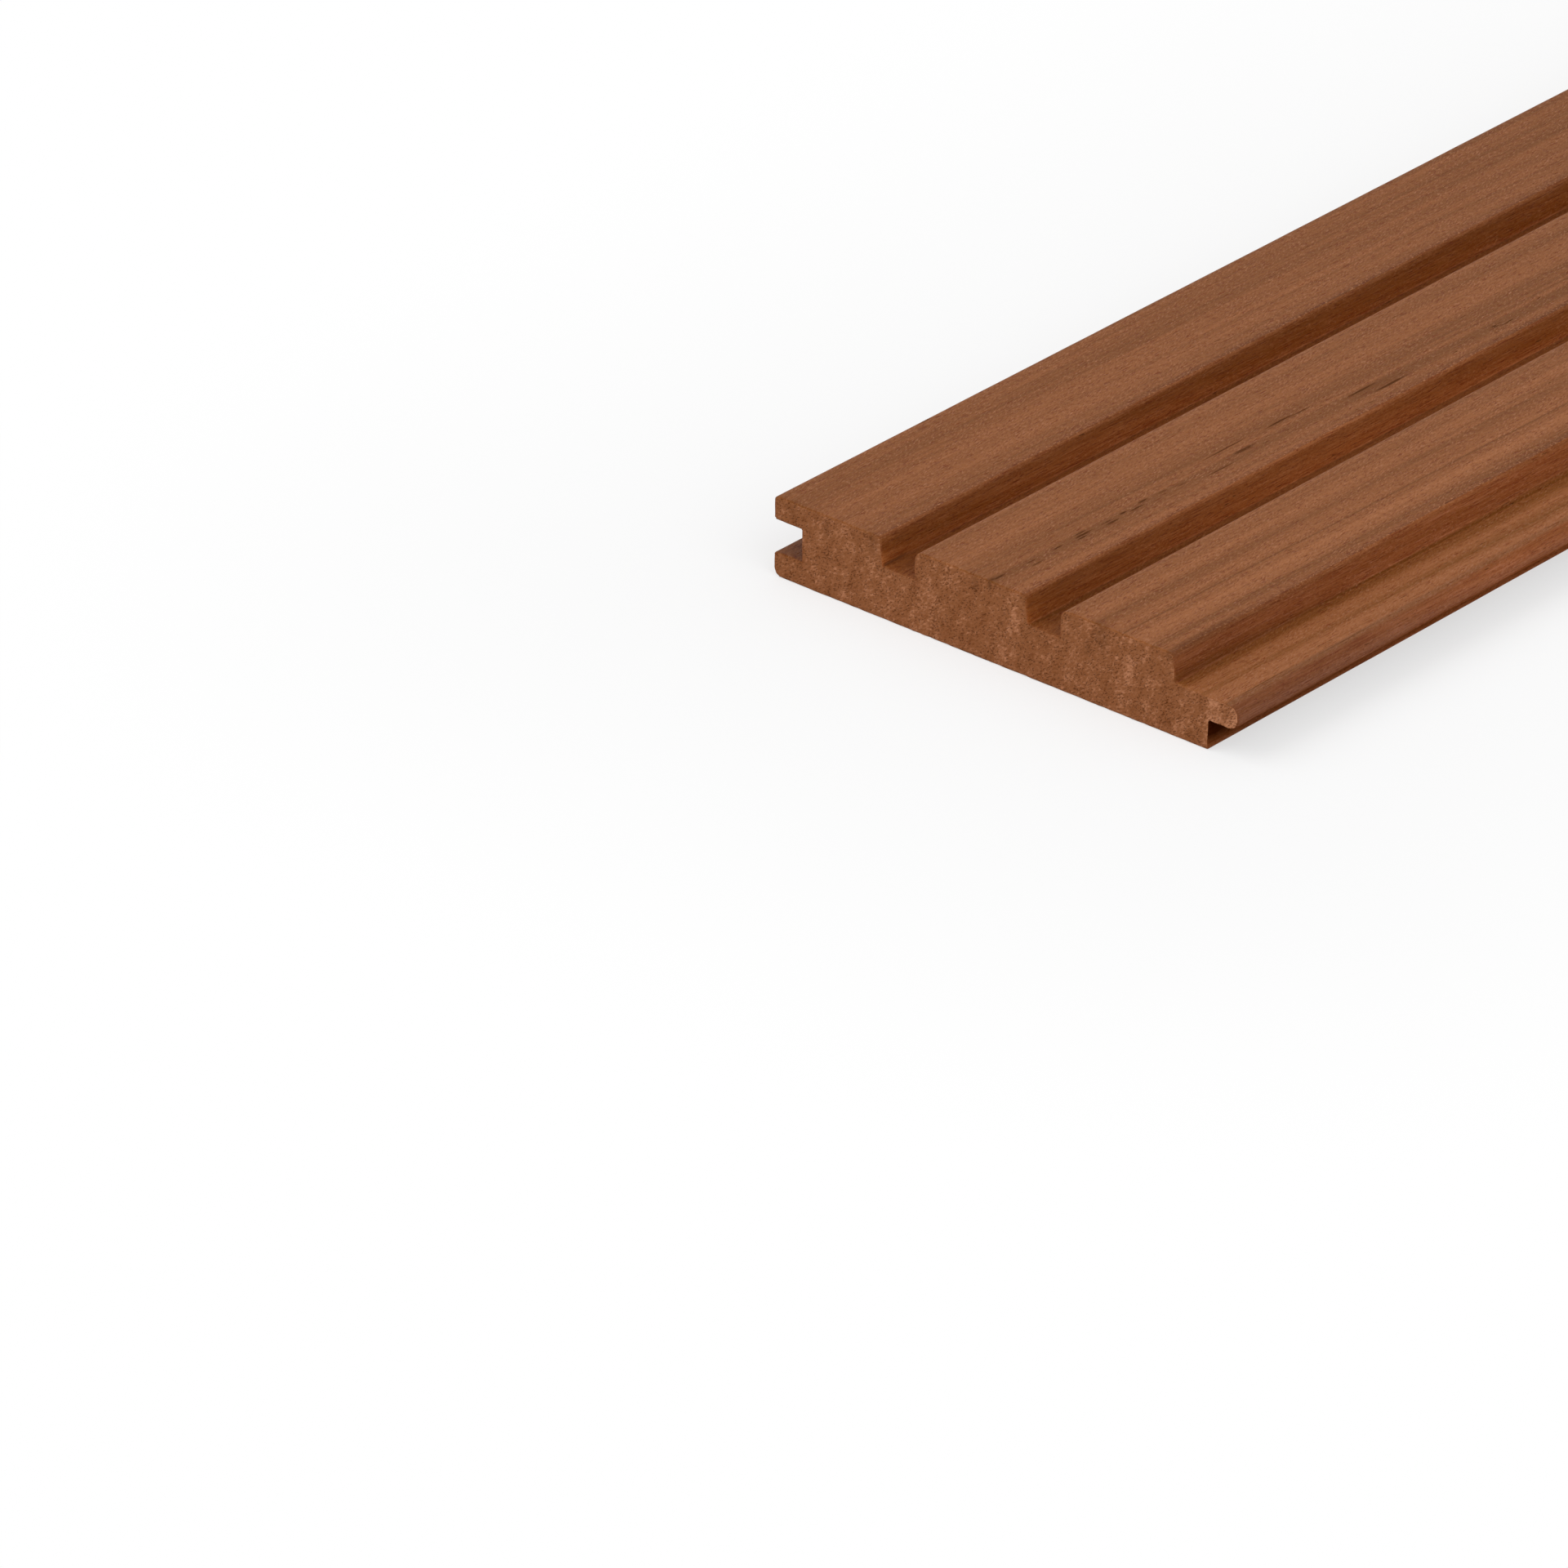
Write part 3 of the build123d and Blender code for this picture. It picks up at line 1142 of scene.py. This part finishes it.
    @staticmethod
    def fill(mesh: bpy.types.Mesh, points: np.ndarray) -> None:
        """Put the rings of points into a mesh, as a tube of quads closed by one face at each end.

        The first and last rings lie within the ends, so the first and last bands of quads are end grain too.

        Args:
            mesh: the empty mesh.
            points: an array of rings by points by three.
        """
        rings, count = points.shape[:2]
        index = np.arange(rings * count).reshape(rings, count)
        after = np.roll(index, -1, axis=1)
        quads = np.stack([index[:-1], index[1:], after[1:], after[:-1]], -1).reshape(-1, 4)
        loops = np.concatenate([quads.ravel(), index[0], index[-1, ::-1]])
        starts = np.concatenate([np.arange(len(quads)) * 4, len(quads) * 4 + np.array([0, count])])
        mesh.vertices.add(rings * count)
        mesh.vertices.foreach_set("co", points.ravel())
        mesh.loops.add(len(loops))
        mesh.loops.foreach_set("vertex_index", loops.astype(np.int32))
        mesh.polygons.add(len(starts))
        mesh.polygons.foreach_set("loop_start", starts.astype(np.int32))
        sawn = np.zeros(len(starts), dtype=bool)
        sawn[:count] = True
        sawn[-count - 2 :] = True
        finish = np.where(sawn, Face.END_GRAIN, Face.LONG_GRAIN)
        mesh.polygons.foreach_set("material_index", finish.astype(np.int32))
        mesh.polygons.foreach_set("use_smooth", ~sawn)
        mesh.update(calc_edges=True)
        mesh.validate()

    def lay_out(self, mesh: bpy.types.Mesh, outline: Outline, stations: np.ndarray) -> None:
        """Lay the surface out flat for baking: length against outline, and the two ends beside it.

        Args:
            mesh: the filled mesh.
            outline: the section's outline.
            stations: the rings' places along the length.
        """
        count = len(outline.points)
        u = stations / stations[-1]
        v = np.concatenate([outline.run, [outline.length]]) / outline.length * self.bake_strip
        corner_u = np.stack([u[:-1], u[1:], u[1:], u[:-1]], -1)[:, None, :].repeat(count, axis=1)
        corner_v = np.stack([v[:-1], v[:-1], v[1:], v[1:]], -1)[None, :, :].repeat(len(stations) - 1, axis=0)
        sides = np.stack([corner_u, corner_v], -1).reshape(-1, 2)

        scale = (0.5 - 2 * self.bake_margin) / self.section.width
        rim = outline.points * scale + np.array([self.bake_margin, self.bake_strip + self.bake_margin])
        flat = rim - outline.normals * self.cap_inset * scale
        near = np.stack([flat, rim, np.roll(rim, -1, axis=0), np.roll(flat, -1, axis=0)], 1).reshape(-1, 2)
        far = np.stack([rim, flat, np.roll(flat, -1, axis=0), np.roll(rim, -1, axis=0)], 1).reshape(-1, 2)
        aside = np.array([0.5, 0.0])
        places = np.concatenate([near, sides, far + aside, flat, flat[::-1] + aside])
        layer = mesh.uv_layers.new(name=BAKE_MAP)
        layer.uv.foreach_set("vector", places.astype(np.float32).ravel())

    def dress(self, board: bpy.types.Object) -> None:
        """Give the board its finishes, and stand it for the CAD node on the root body."""
        board.data.materials.append(LongGrain().material(self.timber))
        board.data.materials.append(EndGrain().material(self.timber))
        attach(board, ROOT_BODY)
        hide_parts(BOARD_NODE)


# The studio


@dataclass(frozen=True)
class SoftLamp:
    """A wide soft sun."""

    name: str
    strength: float
    angle_deg: float
    towards: Triple  # the direction from the board to the lamp

    def build(self) -> None:
        """Add the lamp to the scene."""
        lamp = bpy.data.lights.new(self.name, "SUN")
        lamp.energy = self.strength
        lamp.angle = math.radians(self.angle_deg)
        turned = bpy.data.objects.new(self.name, lamp)
        turned.rotation_mode = "QUATERNION"
        turned.rotation_quaternion = Vector(self.towards).to_track_quat("Z", "Y")
        bpy.context.scene.collection.objects.link(turned)


@dataclass(frozen=True)
class Studio:
    """A plain white floor, and soft light from above and from both sides of the camera."""

    board_high: Vector  # the board's far upper corner, in metres
    floor_radius: float = 40.0
    floor_sides: int = 96
    floor_drop: float = 0.0001  # metres under the board's back, so that the two don't share a plane
    floor_colour: Colour = (0.93, 0.93, 0.93)
    floor_glow: float = 0.6  # share of the floor beside the board that camera rays see as plain white
    white_from: float = 0.2  # metres from the board, beyond which they see nothing else
    dome_strength: float = 0.58
    lamps: tuple[SoftLamp, ...] = (
        SoftLamp("key", 0.95, 50.0, (-0.49, -0.42, 0.766)),
        SoftLamp("fill", 0.85, 50.0, (0.75, -0.25, 0.6)),
    )

    def build(self) -> None:
        """Make the floor, the dome of light and the lamps."""
        self.floor()
        self.dome()
        for lamp in self.lamps:
            lamp.build()

    def floor(self) -> bpy.types.Object:
        """Make the floor: a level disc whose rim points stand at equal angles.

        Returns:
            The floor.
        """
        angle = np.arange(self.floor_sides) * 2 * np.pi / self.floor_sides
        level = np.full_like(angle, -self.floor_drop)
        rim = np.stack([np.cos(angle) * self.floor_radius, np.sin(angle) * self.floor_radius, level], -1)
        mesh = bpy.data.meshes.new("studio_floor")
        mesh.from_pydata(rim.tolist(), [], [list(range(self.floor_sides))])
        mesh.materials.append(self.floor_finish())
        floor = bpy.data.objects.new("studio_floor", mesh)
        bpy.context.scene.collection.objects.link(floor)
        return floor

    @staticmethod
    def sees_white(graph: Graph) -> Field:
        """1 for the rays that see the white surroundings, and 0 for the rest."""
        total: Field | float = 0.0
        for ray in Ray:
            total = graph.add("ShaderNodeLightPath", output=ray.value).most(total)
        return total

    def floor_finish(self) -> bpy.types.Material:
        """Make the floor's white, which keeps a soft shadow.

        Returns:
            The material.
        """
        material = bpy.data.materials.new("studio_white")
        graph = Graph(material)
        matt = graph.add("ShaderNodeBsdfDiffuse", None, {"Color": (*self.floor_colour, 1.0)})
        white = graph.add("ShaderNodeEmission", None, {"Color": (1.0, 1.0, 1.0, 1.0), "Strength": 1.0})
        point = graph.add("ShaderNodeTexCoord", output="Object")
        sides = [
            (abs(graph.add("ShaderNodeSeparateXYZ", None, {"Vector": point}, axis)) - edge).most(0.0)
            for axis, edge in zip("XY", (self.board_high.x, self.board_high.y))
        ]
        away = graph.math("SQRT", sides[0] * sides[0] + sides[1] * sides[1])
        glow = away.step(0.0, self.white_from) * (1.0 - self.floor_glow) + self.floor_glow
        graph.add_output(graph.mix_shaders(self.sees_white(graph) * glow, matt, white))
        return material

    def dome(self) -> None:
        """Light the scene evenly from all round, with a white background."""
        world = bpy.data.worlds.new("studio_dome")
        graph = Graph(world)
        seen = self.sees_white(graph)
        strength = seen + (1.0 - seen) * self.dome_strength
        inputs = {"Color": (1.0, 1.0, 1.0, 1.0), "Strength": strength}
        graph.add_output(graph.add("ShaderNodeBackground", None, inputs), "ShaderNodeOutputWorld")
        bpy.context.scene.world = world


@dataclass(frozen=True)
class PhotoCamera:
    """The camera that took the photograph, solved from the board's edges."""

    frame_px: float = 1920.0
    focal_px: float = 15107.5
    azimuth_deg: float = 40.64
    elevation_deg: float = 28.19
    roll_deg: float = -0.51
    corner_px: tuple[float, float] = (947.3, 704.15)  # the near end's lower corner on the groove side
    corner_depth: float = 2.8966  # metres from the camera, along its axis
    sensor_mm: float = 36.0
    clip_end: float = 100.0  # metres

    def build(self, corner: Vector) -> bpy.types.Object:
        """Place the camera so that the board's near corner falls on its pixel.

        Args:
            corner: the near end's lower corner on the groove side, in metres.

        Returns:
            The camera, set as the scene's.
        """
        azimuth = math.radians(self.azimuth_deg)
        elevation = math.radians(self.elevation_deg)
        right = Vector((math.cos(azimuth), math.sin(azimuth), 0.0))
        forward = Vector(
            (
                -math.sin(azimuth) * math.cos(elevation),
                math.cos(azimuth) * math.cos(elevation),
                -math.sin(elevation),
            )
        )
        roll = Matrix.Rotation(math.radians(self.roll_deg), 3, forward)
        right = roll @ right
        down = forward.cross(right)
        centre = self.frame_px / 2
        offset = [(pixel - centre) / self.focal_px for pixel in self.corner_px]
        sight = right * offset[0] + down * offset[1] + forward
        lens = bpy.data.cameras.new("photo_camera")
        lens.sensor_width = self.sensor_mm
        lens.lens = self.focal_px / self.frame_px * self.sensor_mm
        lens.clip_end = self.clip_end
        camera = bpy.data.objects.new("photo_camera", lens)
        axes = Matrix((right, -down, -forward)).transposed()
        camera.matrix_world = Matrix.Translation(corner - sight * self.corner_depth) @ axes.to_4x4()
        bpy.context.scene.collection.objects.link(camera)
        bpy.context.scene.camera = camera
        return camera


def main() -> None:
    """Build the board, dress it and set up the studio and the camera."""
    logging.basicConfig(level=logging.INFO, format="%(name)s: %(message)s")
    bpy.context.scene.view_settings.view_transform = "Standard"
    low, high = (Vector(corner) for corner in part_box(BOARD_NODE))
    board = Board(low, high)
    piece = board.build()
    board.dress(piece)
    log.info("%s has %d faces", piece.name, len(piece.data.polygons))
    Studio(high).build()
    camera = PhotoCamera().build(low)
    log.info("%s looks from %s", camera.name, tuple(round(place, 3) for place in camera.location))


if __name__ == "__main__":
    main()
